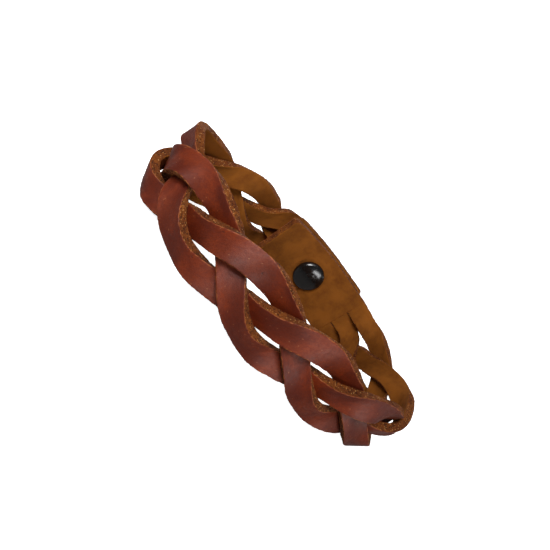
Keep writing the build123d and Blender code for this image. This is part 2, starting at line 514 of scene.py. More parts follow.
def write_mesh(name: str, points: np.ndarray, faces: list[np.ndarray]) -> bpy.types.Object:
    """Make an object from points in millimetres and arrays of faces, shaded smooth."""
    mesh = bpy.data.meshes.new(name)
    rows = [face for group in faces for face in group.tolist()]
    mesh.from_pydata((points * MM).tolist(), [], rows)
    mesh.shade_smooth()
    piece = bpy.data.objects.new(name, mesh)
    bpy.context.scene.collection.objects.link(piece)
    return piece


def dress_hide(
    name: str, made: HideMesh, fray: Fray, finishes: list[bpy.types.Material]
) -> bpy.types.Object:
    """Write a skinned strip as a piece: roughened, with its surface facts and its finishes.

    Args:
        name: Name of the piece.
        made: The skinned strip.
        fray: Roughness of its surfaces.
        finishes: Materials, in the order of Side.

    Returns:
        The piece's object.
    """
    piece = write_mesh(name, made.points, made.faces)
    mesh = piece.data
    normals = np.zeros(len(mesh.vertices) * 3, np.float32)
    mesh.vertex_normals.foreach_get("vector", normals)
    height = fray.heights(made.hide, made.border) * made.free
    points = made.points + normals.reshape(-1, 3)[made.lender] * height[:, None]
    mesh.vertices.foreach_set("co", (points * MM).astype(np.float32).ravel())
    mesh.attributes.new("hide", "FLOAT_VECTOR", "POINT").data.foreach_set(
        "vector", made.hide.astype(np.float32).ravel()
    )
    mesh.attributes.new("border", "FLOAT", "POINT").data.foreach_set(
        "value", made.border.astype(np.float32)
    )
    for finish in finishes:
        mesh.materials.append(finish)
    mesh.polygons.foreach_set("material_index", made.sides.astype(np.int32))
    mesh.polygons.foreach_set("use_smooth", ~made.flat)
    mesh.update()
    return piece


# ---------------------------------------------------------------- the braid


@dataclass(frozen=True)
class Weave:
    """The three-strand braid, as waves of one pitch about the band's middle."""

    pitch: float = 66.0
    crossings: int = 16
    swing: float = 6.25
    rise: float = 1.5
    tilt: float = 0.4
    start: float = 3.0
    spread: float = 11.0
    rise_length: float = 5.0
    late_middle: float = 48.0
    late_reach: float = 17.0
    late_by: float = 4.5
    proud_middle: float = 45.0
    proud_reach: float = 8.0


@dataclass(frozen=True)
class Strand:
    """A strand: its phase at the first crossing, its slots, the crossing that hides its joint.

    proud_by is how far it stands proud of the plait at the left bend.
    """

    number: int
    phase: float
    outer_slot: int
    inner_slot: int
    joint_crossing: int
    proud_by: float = 0.0


class StrandEnd(Enum):
    """The two lengths of a strand, by the tab that each comes from."""

    OUTER = "outer_length"
    INNER = "inner_length"


@dataclass
class Braid:
    """Three plaited strands, each in two lengths that meet under a crossing at the front.
    """

    plan: BandPlan
    hinges: dict[str, Vector]
    strap: Strap = Strap()
    weave: Weave = Weave()
    fray: Fray = Fray()
    step: float = 0.28
    slope_reach: float = 0.1
    strands: tuple[Strand, ...] = (
        Strand(1, 180.0, -1, 1, 7, 1.5),
        Strand(2, 60.0, 1, 0, 6),
        Strand(3, 300.0, 0, -1, 8),
    )
    flex_zone: float = 12.0
    left_flex_ahead: tuple[float, float, float] = (0.0, 1.0, 0.0)
    right_flex_ahead: tuple[float, float, float] = (0.39, 0.92, 0.0)

    @property
    def first_crossing(self) -> float:
        """Distance along the band to the first crossing, with all of them centred in its length."""
        weave = self.weave
        return (self.plan.length - (weave.crossings - 1) * weave.pitch / 6) / 2

    def woven(self, along: np.ndarray, start: float, length: float) -> np.ndarray:
        """How far the strands have left the tabs' straight slots, from 0 to 1."""
        rest = self.plan.length - along
        return ease((along - start) / length) * ease((rest - start) / length)

    def phase(self, strand: Strand, along: np.ndarray) -> np.ndarray:
        """Angle in the weave: 0 at the top edge, pi at the bottom edge, and late at the left bend."""
        weave = self.weave
        late = weave.late_by * hill(along, weave.late_middle, weave.late_reach)
        turns = (along - late - self.first_crossing) / weave.pitch
        return np.radians(strand.phase) + 2 * np.pi * turns

    def side(self, strand: Strand, along: np.ndarray) -> np.ndarray:
        """Height of a strand's middle above the band's: swing cos(phase), from its slot at each tab."""
        slot = np.where(along < self.plan.length / 2, strand.outer_slot, strand.inner_slot)
        share = self.woven(along, self.weave.start, self.weave.spread)
        wave = self.weave.swing * np.cos(self.phase(strand, along))
        return share * wave + (1 - share) * slot * self.strap.slot_step

    def strip(self, strand: Strand, end: StrandEnd) -> Strip:
        """Stations of one length of a strand.

        The strand lies rise sin(2 phase) in and out and leans by tilt sin(3 phase). Its section lies
        across the band, so it is wider than the strand by the slant of its path.

        Args:
            strand: The strand.
            end: Which of its two lengths.

        Returns:
            The strip.
        """
        joint = self.first_crossing + strand.joint_crossing * self.weave.pitch / 6
        first, last = (0.0, joint) if end is StrandEnd.OUTER else (joint, self.plan.length)
        along = np.linspace(first, last, round((last - first) / self.step) + 1)
        at = self.plan.stations(along)
        phase = self.phase(strand, along)
        share = self.woven(along, 0.0, self.weave.rise_length)
        side = self.side(strand, along)
        slope = self.side(strand, along + self.slope_reach) - self.side(strand, along - self.slope_reach)
        slope = slope / (2 * self.slope_reach)
        proud = hill(along, self.weave.proud_middle, self.weave.proud_reach) * (strand.proud_by > 0)
        lift = strand.proud_by * proud - share * self.weave.rise * np.sin(2 * phase)
        lean = np.arctan(share * self.weave.tilt * np.sin(3 * phase))
        up = np.array([0.0, 0.0, 1.0])
        cos, sin = np.cos(lean)[:, None], np.sin(lean)[:, None]
        drift = ease(along / self.plan.length)
        slots = strand.outer_slot + (strand.inner_slot - strand.outer_slot) * drift
        return Strip(
            origin=at.origin + at.outward * lift[:, None] + up * side[:, None],
            outward=at.outward * cos - up * sin,
            upward=up * cos + at.outward * sin,
            half_width=self.strap.strand_width / 2 * np.hypot(1.0, slope),
            half_thick=np.full(len(along), self.strap.thickness / 2),
            along=along,
            offset=slots * self.strap.slot_step,
            from_cut_end=np.full(len(along), self.strap.width),
            from_seam=np.minimum(along - first, last - along),
        )

    def build(self, finishes: list[bpy.types.Material]) -> None:
        """Skin all six lengths and hide the frame's strand parts that they stand for."""
        strap = self.strap
        section = Section.of(strap.strand_width, strap.thickness, strap.corner, self.step)
        for strand in self.strands:
            for end in StrandEnd:
                name = f"strand_{strand.number}_{end.value}"
                piece = dress_hide(name, skin(self.strip(strand, end), section), self.fray, finishes)
                stem = f"strand_{strand.number}"
                if end is StrandEnd.OUTER:
                    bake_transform(piece)
                    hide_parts(f"{stem}_left", f"{stem}_front")
                else:
                    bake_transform(piece)
                    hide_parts(f"{stem}_right")
                report(piece)


# ---------------------------------------------------------------- the tabs


@dataclass(frozen=True)
class Seat:
    """A snap part that is pressed onto a tab: its radius and its distance from the clasp's centre."""

    radius: float
    distance: float


@dataclass
class Tab:
    """A curved tab, from its root, where the slits begin, to its cut end with small rounded corners."""

    name: str
    clasp: Clasp
    radius: float
    root: float
    end: float
    root_along: float
    outside: Seat
    inside: Seat
    strap: Strap = Strap()
    fray: Fray = Fray()
    step: float = 0.3
    seat_slope: float = 1.1
    puff: float = 0.12
    puff_reach: float = 0.9

    def strip(self) -> Strip:
        """Stations of the tab, which narrow round its end's corners and thin at its cut end."""
        strap, corner = self.strap, self.clasp.tab_corner
        span = np.radians(abs(self.end - self.root)) * self.radius
        bent = corner * (1 - np.cos(np.radians(np.linspace(0, 90, 9))))
        soft = strap.corner * (1 - np.cos(np.radians(np.linspace(0, 90, 6))))
        even = np.linspace(corner, span, round((span - corner) / self.step) + 1)
        from_end = np.unique(np.round(np.concatenate([bent, soft, even]), 4))
        facing = np.sign(self.end - self.root)
        angle = self.end - facing * np.degrees(from_end / self.radius)
        if facing > 0:
            angle, from_end = angle[::-1], from_end[::-1]
        flat = self.clasp.direction(angle)
        level = np.zeros(len(angle))
        centre = self.clasp.centre + self.radius * flat
        narrow = corner - np.sqrt(corner**2 - np.clip(corner - from_end, 0, corner) ** 2)
        inset = np.clip(strap.corner - from_end, 0, strap.corner)
        thin = strap.corner - np.sqrt(strap.corner**2 - inset**2)
        return Strip(
            origin=np.column_stack([centre, level + self.clasp.middle_height]),
            outward=np.column_stack([flat, level]),
            upward=np.tile([0.0, 0.0, 1.0], (len(angle), 1)),
            half_width=strap.width / 2 - np.maximum(narrow, thin),
            half_thick=strap.thickness / 2 - thin,
            along=self.root_along + facing * (span - from_end),
            offset=level,
            from_cut_end=from_end,
            from_seam=span - from_end,
        )

    def press(self, made: HideMesh) -> None:
        """Flatten both faces under the snap's parts and puff the hide up a little round them.

        Within a seat's radius a face goes to the seat's plane, and the pull fades over the slope's width.

        Args:
            made: The skinned tab, whose points are moved.
        """
        beside = made.points[:, [0, 2]] - [self.clasp.centre[0], self.clasp.middle_height]
        off_axis = np.linalg.norm(beside, axis=1)
        depth = made.hide[:, 2] / (self.strap.thickness / 2)
        height = made.points[:, 1] - self.clasp.centre[1]
        for seat, facing in ((self.outside, 1.0), (self.inside, -1.0)):
            share = np.clip(depth * facing, 0.0, 1.0)
            hold = share * (1 - ease((off_axis - seat.radius) / self.seat_slope))
            off_ring = off_axis - seat.radius - self.seat_slope
            ring = np.exp(-((off_ring / self.puff_reach) ** 2))
            height += hold * (seat.distance - height)
            height += share * facing * self.puff * ring
        made.points[:, 1] = height + self.clasp.centre[1]

    def build(self, finishes: list[bpy.types.Material]) -> bpy.types.Object:
        """Skin the tab, press its seats and dress it."""
        section = Section.of(self.strap.width, self.strap.thickness, self.strap.corner, self.step)
        made = skin(self.strip(), section)
        self.press(made)
        piece = dress_hide(f"{self.name}_hide", made, self.fray, finishes)
        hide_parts(self.name)
        return piece


# ---------------------------------------------------------------- the snap


@dataclass(frozen=True)
class Snap:
    """The snap's turned and pressed metal parts, about its axis through both tabs."""

    clasp: Clasp
    cap_radius: float = 5.0
    cap_height: float = 2.3
    cap_edge: float = 0.7
    shoulder_radius: float = 4.2
    shoulder_height: float = 1.55
    rim_round: float = 0.22
    cap_sink: float = 0.3
    clearance: float = 0.05
    post_radius: float = 1.0
    flare_radius: float = 1.7
    flare_thickness: float = 0.3
    flare_dish: float = 0.04
    flare_bevel: float = 0.06
    flare_land: float = 0.1
    flange_radius: float = 3.7
    flange_thickness: float = 0.6
    flange_sink: float = 0.1
    neck_radius: float = 1.7
    bulb_radius: float = 2.0
    bulb_tip_radius: float = 1.3
    bulb_height: float = 1.25
    socket_radius: float = 4.0
    socket_height: float = 1.85
    socket_base: float = 0.4
    mouth_radius: float = 2.9
    spring_wire: float = 0.3
    spring_gap: float = 24.0
    spring_tip: float = 0.02
    segments: int = 128
    sharp_from: float = 40.0

    @property
    def inner_cap(self) -> Seat:
        """Seat of the cap inside the band."""
        inside = self.clasp.inner_radius - Strap.thickness / 2
        return Seat(self.cap_radius, inside - self.clearance)

    @property
    def stud(self) -> Seat:
        """Seat of the stud, on the inner tab's outside."""
        return Seat(self.flange_radius, self.clasp.inner_radius + Strap.thickness / 2 - self.flange_sink)

    @property
    def socket(self) -> Seat:
        """Seat of the socket, on the outer tab's inside."""
        return Seat(self.socket_radius, self.clasp.outer_radius - Strap.thickness / 2 + self.clearance)

    @property
    def outer_cap(self) -> Seat:
        """Seat of the cap outside the band."""
        return Seat(self.cap_radius, self.clasp.outer_radius + Strap.thickness / 2 - self.cap_sink)

    @property
    def bulb_tip(self) -> float:
        """Distance of the stud's tip from the clasp's centre."""
        return self.stud.distance + self.flange_thickness + self.bulb_height

    @property
    def middle(self) -> np.ndarray:
        """Point of the snap's axis beside the clasp's centre."""
        return np.array([*self.clasp.centre, self.clasp.middle_height])

    def turn(
        self, name: str, profile: np.ndarray, finish: bpy.types.Material, slot: str
    ) -> bpy.types.Object:
        """Turn a profile about the snap's axis: (r cos t, d, r sin t) for t all the way round.

        Args:
            name: Name of the piece.
            profile: Radius r and distance d of each point. It is a closed loop, or runs from axis to axis,
                anticlockwise with radius to the right and distance up.
            finish: Material of the piece.
            slot: Not used.

        Returns:
            The piece's object.
        """
        poles = profile[0, 0] == 0.0
        rim = profile[1:-1] if poles else profile
        angle = np.linspace(0, 2 * np.pi, self.segments, endpoint=False)
        ring = np.stack([np.cos(angle), np.zeros(self.segments), np.sin(angle)], axis=-1)
        along = np.array([0.0, 1.0, 0.0])
        points = self.middle + rim[:, 0, None, None] * ring + rim[:, 1, None, None] * along
        points = points.reshape(-1, 3)
        here = np.arange(self.segments)
        after = np.roll(here, -1)
        rows = len(rim)
        starts = (np.arange(rows - 1 if poles else rows) * self.segments)[:, None]
        nexts = (starts + self.segments) % (rows * self.segments)
        walls = np.stack([starts + here, starts + after, nexts + after, nexts + here], axis=-1)
        faces = [walls.reshape(-1, 4)]
        if poles:
            tips = self.middle + profile[[0, -1], 1, None] * along
            points = np.concatenate([points, tips])
            last = (rows - 1) * self.segments
            low_tip, high_tip = (np.full(self.segments, len(points) - back) for back in (2, 1))
            faces.append(np.stack([low_tip, after, here], axis=-1))
            faces.append(np.stack([high_tip, last + here, last + after], axis=-1))
        piece = write_mesh(name, points, faces)
        piece.data.materials.append(finish)
        piece.data.set_sharp_from_angle(angle=np.radians(self.sharp_from))
        return piece

    def cap_profile(self, seat: Seat, facing: float, post_end: float, flared: bool) -> np.ndarray:
        """Profile of a domed cap with its rivet post.

        Two arcs run from the top to the rim, each tangent to the one before, then a small round turns
        the rim under.

        Args:
            seat: The cap's seat.
            facing: 1 for a dome that rises away from the clasp's centre, -1 for one towards it.
            post_end: Distance of the post's end from the clasp's centre.
            flared: Whether the post's end is spread into a flat head.

        Returns:
            Radius and distance of each point, from axis to axis.
        """
        top = np.array([0.0, self.cap_height])
        shoulder = np.array([self.shoulder_radius, self.shoulder_height])
        edge = np.array([self.cap_radius, self.cap_edge])
        crown = tangent_arc(top, shoulder, np.array([1.0, 0.0]), 24)
        leaving = crown[-1] - crown[-2]
        turn_in = tangent_arc(shoulder, edge, leaving / np.linalg.norm(leaving), 14)[1:]
        under = np.radians(np.linspace(0, -90, 7))
        rim_middle = np.array([self.cap_radius - self.rim_round, self.rim_round])
        rim = rim_middle + self.rim_round * np.stack([np.cos(under), np.sin(under)], axis=-1)
        reach = abs(post_end - seat.distance)
        post = [[self.post_radius, 0.0], [self.post_radius, -reach], [0.0, -reach]]
        if flared:
            neck = self.flare_thickness - reach
            post = [
                [self.post_radius, 0.0],
                [self.post_radius, neck],
                [self.flare_radius, neck - self.flare_dish],
                [self.flare_radius, self.flare_bevel - reach],
                [self.flare_radius - self.flare_land, -reach],
                [0.0, -reach],
            ]
        profile = np.concatenate([crown, turn_in, rim, post])
        profile[:, 1] = seat.distance + facing * profile[:, 1]
        return profile if facing < 0 else profile[::-1]

    def stud_profile(self) -> np.ndarray:
        """Profile of the stud: a flange with a rounded rim, a neck and a bulb about a bore."""
        bore, low = self.post_radius + self.clearance, self.stud.distance
        top = low + self.flange_thickness
        round_over = np.radians(np.linspace(-90, 90, 9))
        half = self.flange_thickness / 2
        rim = [self.flange_radius - half, low + half] + half * np.stack(
            [np.cos(round_over), np.sin(round_over)], axis=-1
        )
        swell = np.linspace(0.0, 1.0, 13)
        bulge = self.neck_radius + (self.bulb_tip_radius - self.neck_radius) * swell
        middle_radius = (self.neck_radius + self.bulb_tip_radius) / 2
        bulge += 4 * swell * (1 - swell) * (self.bulb_radius - middle_radius)
        bulb = np.column_stack([bulge, top + self.bulb_height * swell])
        return np.concatenate([[[bore, low]], rim, bulb, [[bore, self.bulb_tip]]])

    def socket_profile(self) -> np.ndarray:
        """Profile of the socket: a base with a bore and a wall whose mouth is rolled in."""
        bore, seat = self.post_radius + self.clearance, self.socket.distance
        mouth, base = seat - self.socket_height, seat - self.socket_base
        wall = self.socket_radius - self.mouth_radius
        roll = np.radians(np.linspace(180, 360, 13))
        lip = [self.mouth_radius + wall / 2, mouth + wall / 2] + wall / 2 * np.stack(
            [np.cos(roll), np.sin(roll)], axis=-1
        )
        inside = [[bore, base], [self.mouth_radius, base]]
        outside = [[self.socket_radius, seat], [bore, seat]]
        return np.concatenate([inside, lip, outside])

    def spring(self, finish: bpy.types.Material) -> bpy.types.Object:
        """Wire ring inside the socket's mouth, open at one place and with domed ends.

        The wire's radius is constant, and at its two ends it closes as a half circle.
        """
        ring = self.mouth_radius - self.spring_wire
        distance = self.socket.distance - self.socket_height + self.spring_wire
        closing = np.radians(np.linspace(90, 0, 6))
        ends = self.spring_wire * np.cos(closing)
        reach = self.spring_wire * (1 - np.sin(closing))
        half_gap = np.radians(self.spring_gap / 2)
        start = half_gap + reach / ring
        middle = np.linspace(start[-1], 2 * np.pi - start[-1], 96)[1:-1]
        angle = np.concatenate([start, middle, 2 * np.pi - start[::-1]])
        thick = np.concatenate([ends, np.full(len(middle), self.spring_wire), ends[::-1]])
        thick = np.maximum(thick, self.spring_tip)
        across = np.linspace(0, 2 * np.pi, 20, endpoint=False)
        radius = ring + thick[:, None] * np.cos(across)
        lift = distance + thick[:, None] * np.sin(across)
        points = self.middle + np.stack(
            [radius * np.cos(angle)[:, None], lift, radius * np.sin(angle)[:, None]], axis=-1
        )
        count, around = len(angle), len(across)
        here, after = np.arange(around), np.roll(np.arange(around), -1)
        starts = (np.arange(count - 1) * around)[:, None]
        nexts = starts + around
        walls = np.stack([starts + here, nexts + here, nexts + after, starts + after], axis=-1)
        caps = [here[None, :], ((count - 1) * around + here)[None, ::-1]]
        piece = write_mesh("socket_spring_wire", points.reshape(-1, 3), [walls.reshape(-1, 4), *caps])
        piece.data.materials.append(finish)
        return piece

    def build(self, finishes: "Finishes") -> None:
        """Turn every metal part and put it on its body."""
        flare_face = self.socket.distance - self.socket_base - self.flare_thickness
        inner = self.cap_profile(self.inner_cap, -1.0, self.bulb_tip, flared=False)
        outer = self.cap_profile(self.outer_cap, 1.0, flare_face, flared=True)
        lacquer, metal = finishes.lacquer, finishes.black_metal
        parts = {
            "inner_cap": ("back_right", self.turn("inner_cap_dome", inner, lacquer, "black_metal")),
            "outer_cap": ("flap", self.turn("outer_cap_dome", outer, lacquer, "black_metal")),
            "stud": ("back_right", self.turn("stud_turned", self.stud_profile(), metal, "black_metal")),
            "socket": ("flap", self.turn("socket_turned", self.socket_profile(), metal, "black_metal")),
            "socket_spring": ("flap", self.spring(finishes.wire)),
        }
        for node, (body, piece) in parts.items():
            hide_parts(node)
            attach(piece, body)
            report(piece)


# ---------------------------------------------------------------- finishes


def paint(red: int, green: int, blue: int) -> Shade:
    """Scene-linear colour of a shade given in display values from 0 to 255."""
    shade = np.array([red, green, blue]) / 255.0
    linear = np.where(shade <= 0.04045, shade / 12.92, ((shade + 0.055) / 1.055) ** 2.4)
    return (*linear.tolist(), 1.0)


class Wiring:
    """Fills one node tree: places nodes with their values and links their sockets."""

    def __init__(self, tree: bpy.types.NodeTree) -> None:
        """Start on a tree."""
        self.tree = tree

    def place(self, kind: str, values: dict | None = None, **settings: object) -> bpy.types.Node:
        """Add a node.

        Args:
            kind: The node's type, without its ShaderNode prefix.
            values: For each input, by name or number, a constant or the socket that feeds it.
            settings: The node's own properties.

        Returns:
            The node.
        """
        node = self.tree.nodes.new(kind if kind.startswith("NodeGroup") else f"ShaderNode{kind}")
        for setting, value in settings.items():
            setattr(node, setting, value)
        for key, value in (values or {}).items():
            if isinstance(value, bpy.types.NodeSocket):
                self.tree.links.new(value, node.inputs[key])
            else:
                node.inputs[key].default_value = value
        return node

    def maths(self, operation: str, *values: object) -> bpy.types.NodeSocket:
        """Result of a Math node."""
        return self.place("Math", dict(enumerate(values)), operation=operation).outputs[0]

    def spread(
        self, value: object, low: object, high: object, bottom: float = 0.0, top: float = 1.0
    ) -> bpy.types.NodeSocket:
        """A value eased from bottom to top as it goes from low to high."""
        values = {"Value": value, 1: low, 2: high, 3: bottom, 4: top}
        return self.place("MapRange", values, interpolation_type="SMOOTHSTEP").outputs[0]

    def mix(self, share: object, first: object, second: object) -> bpy.types.NodeSocket:
        """A mixture of two colours."""
        return self.place("Mix", {0: share, 6: first, 7: second}, data_type="RGBA").outputs[2]

    def group(self, tree: bpy.types.NodeTree, values: dict) -> bpy.types.NodeSocket:
        """Result of a shared group."""
        return self.place("Group", values, node_tree=tree).outputs[0]


class SharedEffects:
    """Effects that several finishes use, each a node group that is built once."""

    def __init__(self) -> None:
        """Build the groups."""
        self.patches = self.make_patches()
        self.specks = self.make_specks()
        self.fibres = self.make_fibres()

    @staticmethod
    def start_group(
        name: str, inputs: dict[str, tuple[str, object]], output: str
    ) -> tuple[Wiring, dict[str, bpy.types.NodeSocket], bpy.types.Node]:
        """Make an empty group with its sockets.

        Args:
            name: The group's name.
            inputs: Socket type and first value of each input.
            output: Name of the one output, a value.

        Returns:
            The wiring, the input sockets by name, and the output node.
        """
        tree = bpy.data.node_groups.new(name, "ShaderNodeTree")
        for label, (kind, value) in inputs.items():
            socket = tree.interface.new_socket(label, in_out="INPUT", socket_type=kind)
            if value is not None:
                socket.default_value = value
        tree.interface.new_socket(output, in_out="OUTPUT", socket_type="NodeSocketFloat")
        wiring = Wiring(tree)
        given = wiring.place("NodeGroupInput")
        result = wiring.place("NodeGroupOutput")
        return wiring, {label: given.outputs[label] for label in inputs}, result

    @staticmethod
    def scaled(
        wiring: Wiring, place: bpy.types.NodeSocket, size: bpy.types.NodeSocket
    ) -> bpy.types.NodeSocket:
        """Places divided by the size of a pattern."""
        share = wiring.maths("DIVIDE", 1.0, size)
        node = wiring.place("VectorMath", {0: place, "Scale": share}, operation="SCALE")
        return node.outputs[0]

    def make_patches(self) -> bpy.types.NodeTree:
        """Soft uneven patches: layered noise, spread between two levels."""
        wiring, given, result = self.start_group(
            "hide_patches",
            {
                "Place": ("NodeSocketVector", None),
                "Size": ("NodeSocketFloat", 5.0),
                "Low": ("NodeSocketFloat", 0.35),
                "High": ("NodeSocketFloat", 0.65),
            },
            "Share",
        )
        place = self.scaled(wiring, given["Place"], given["Size"])
        noise = wiring.place("TexNoise", {"Vector": place, "Scale": 1.0, "Detail": 4.0, "Roughness": 0.6})
        share = wiring.spread(noise.outputs[0], given["Low"], given["High"])
        wiring.tree.links.new(share, result.inputs[0])
        return wiring.tree

    def make_specks(self) -> bpy.types.NodeTree:
        """Scattered specks: small uneven spots in a share of the cells of a scattered lattice."""
        wiring, given, result = self.start_group(
            "hide_specks",
            {
                "Place": ("NodeSocketVector", None),
                "Size": ("NodeSocketFloat", 0.6),
                "Share": ("NodeSocketFloat", 0.1),
                "Radius": ("NodeSocketFloat", 0.35),
            },
            "Mask",
        )
        place = self.scaled(wiring, given["Place"], given["Size"])
        wobble = wiring.place("TexNoise", {"Vector": place, "Scale": 2.6, "Detail": 2.0})
        bent = wiring.place("VectorMath", {0: place, 1: wobble.outputs[1]}, operation="ADD")
        cells = wiring.place("TexVoronoi", {"Vector": bent.outputs[0], "Scale": 1.0})
        draw = wiring.place("SeparateColor", {0: cells.outputs["Color"]}).outputs[0]
        picked = wiring.maths("LESS_THAN", draw, given["Share"])
        inside = wiring.maths("SUBTRACT", given["Radius"], cells.outputs["Distance"])
        spot = wiring.spread(inside, 0.0, 0.18)
        wiring.tree.links.new(wiring.maths("MULTIPLY", spot, picked), result.inputs[0])
        return wiring.tree

    def make_fibres(self) -> bpy.types.NodeTree:
        """Fine relief: noise at a size and at a third of it, mixed with the walls of small cells."""
        wiring, given, result = self.start_group(
            "hide_fibres",
            {
                "Place": ("NodeSocketVector", None),
                "Size": ("NodeSocketFloat", 0.5),
                "Cells": ("NodeSocketFloat", 0.5),
            },
            "Height",
        )
        place = self.scaled(wiring, given["Place"], given["Size"])
        noise = wiring.place(
            "TexNoise", {"Vector": place, "Scale": 1.0, "Detail": 5.0, "Roughness": 0.65, "Distortion": 0.4}
        )
        cells = wiring.place("TexVoronoi", {"Vector": place, "Scale": 1.3}, feature="DISTANCE_TO_EDGE")
        walls = wiring.spread(cells.outputs[0], 0.0, 0.3)
        height = wiring.place("Mix", {0: given["Cells"], 2: noise.outputs[0], 3: walls})
        wiring.tree.links.new(height.outputs[0], result.inputs[0])
        return wiring.tree


def new_finish(name: str) -> tuple[bpy.types.Material, Wiring, bpy.types.Node]:
    """Make a material and return it with its wiring and its surface shader."""
    material = bpy.data.materials.new(name)
    material.use_nodes = True
    shader = material.node_tree.nodes["Principled BSDF"]
    return material, Wiring(material.node_tree), shader


def set_surface(wiring: Wiring, shader: bpy.types.Node, values: dict[str, object]) -> None:
    """Set or link the surface shader's inputs."""
    for key, value in values.items():
        if isinstance(value, bpy.types.NodeSocket):
            wiring.tree.links.new(value, shader.inputs[key])
        else:
            shader.inputs[key].default_value = value


@dataclass(frozen=True)
class GrainSide:
    """The smooth dyed side of the hide: satin red brown, mottled, with nicks that hold painted shade and a
    worn border.
    """

    deep: Shade = paint(90, 28, 8)
    warm: Shade = paint(124, 46, 14)
    dusky: Shade = paint(86, 37, 20)
    pale_speck: Shade = paint(158, 96, 62)
    # Darker fine grain, and painted shade inside the nicks.
    dark_grain_and_nick_shade: Shade = paint(48, 14, 8)
    worn: Shade = paint(158, 88, 44)

    def make(self, effects: SharedEffects) -> bpy.types.Material:
        """Build the material."""
        material, wiring, shader = new_finish("grain_side")
        place = wiring.place("Attribute", attribute_name="hide").outputs["Vector"]
        border = wiring.place("Attribute", attribute_name="border").outputs["Fac"]
        broad = wiring.group(effects.patches, {"Place": place, "Size": 9.0, "Low": 0.38, "High": 0.62})
        cool = wiring.group(effects.patches, {"Place": place, "Size": 23.0, "Low": 0.42, "High": 0.66})
        fine = wiring.group(effects.patches, {"Place": place, "Size": 0.9, "Low": 0.3, "High": 0.7})
        pores = wiring.group(effects.fibres, {"Place": place, "Size": 0.34, "Cells": 0.35})
        colour = wiring.mix(broad, self.deep, self.warm)
        colour = wiring.mix(wiring.maths("MULTIPLY", cool, 0.55), colour, self.dusky)
        colour = wiring.mix(wiring.spread(fine, 0.0, 1.0, 0.0, 0.35), colour, self.deep)
        grain = wiring.group(effects.patches, {"Place": place, "Size": 0.3, "Low": 0.42, "High": 0.62})
        colour = wiring.mix(wiring.maths("MULTIPLY", grain, 0.3), colour, self.dark_grain_and_nick_shade)
        pale = wiring.group(effects.specks, {"Place": place, "Size": 0.55, "Share": 0.045, "Radius": 0.3})
        nicks = wiring.group(effects.specks, {"Place": place, "Size": 1.5, "Share": 0.05, "Radius": 0.22})
        colour = wiring.mix(wiring.maths("MULTIPLY", pale, 0.65), colour, self.pale_speck)
        # Painted shade: the nicks that the bump dents are darkened as if shade fell in them.
        colour = wiring.mix(wiring.maths("MULTIPLY", nicks, 0.8), colour, self.dark_grain_and_nick_shade)
        ragged = wiring.maths("ADD", border, wiring.spread(fine, 0.0, 1.0, -0.12, 0.2))
        rubbed = wiring.spread(ragged, 0.26, 0.06, 0.0, 0.85)
        colour = wiring.mix(rubbed, colour, self.worn)
        height = wiring.maths("SUBTRACT", pores, wiring.maths("MULTIPLY", nicks, 1.2))
        bump = wiring.place("Bump", {"Strength": 0.55, "Distance": 0.00006, "Height": height})
        satin = wiring.spread(fine, 0.0, 1.0, 0.4, 0.52)
        rough = wiring.maths("ADD", satin, wiring.maths("MULTIPLY", rubbed, 0.3))
        set_surface(
            wiring,
            shader,
            {
                "Base Color": colour,
                "Roughness": rough,
                "Normal": bump.outputs[0],
                "Specular IOR Level": 0.3,
            },
        )
        return material


@dataclass(frozen=True)
class FleshSide:
    """The napped underside of the hide: ochre, soft and faintly speckled."""

    shade: Shade = paint(102, 56, 16)
    light: Shade = paint(136, 79, 26)
    speck: Shade = paint(76, 38, 11)

    def make(self, effects: SharedEffects) -> bpy.types.Material:
        """Build the material."""
        material, wiring, shader = new_finish("flesh_side")
        place = wiring.place("Attribute", attribute_name="hide").outputs["Vector"]
        broad = wiring.group(effects.patches, {"Place": place, "Size": 6.0, "Low": 0.3, "High": 0.7})
        fine = wiring.group(effects.patches, {"Place": place, "Size": 0.7, "Low": 0.3, "High": 0.7})
        nap = wiring.group(effects.fibres, {"Place": place, "Size": 0.3, "Cells": 0.1})
        colour = wiring.mix(broad, self.shade, self.light)
        colour = wiring.mix(wiring.maths("MULTIPLY", fine, 0.4), colour, self.light)
        specks = wiring.group(effects.specks, {"Place": place, "Size": 0.6, "Share": 0.1, "Radius": 0.28})
        colour = wiring.mix(wiring.maths("MULTIPLY", specks, 0.35), colour, self.speck)
        height = wiring.maths("ADD", nap, wiring.maths("MULTIPLY", fine, 0.4))
        bump = wiring.place("Bump", {"Strength": 0.7, "Distance": 0.00009, "Height": height})
        set_surface(
            wiring,
            shader,
            {
                "Base Color": colour,
                "Roughness": wiring.spread(fine, 0.0, 1.0, 0.86, 0.98),
                "Normal": bump.outputs[0],
                "Specular IOR Level": 0.12,
                "Sheen Weight": 0.04,
                "Sheen Roughness": 0.5,
                "Sheen Tint": paint(190, 140, 90),
            },
        )
        return material


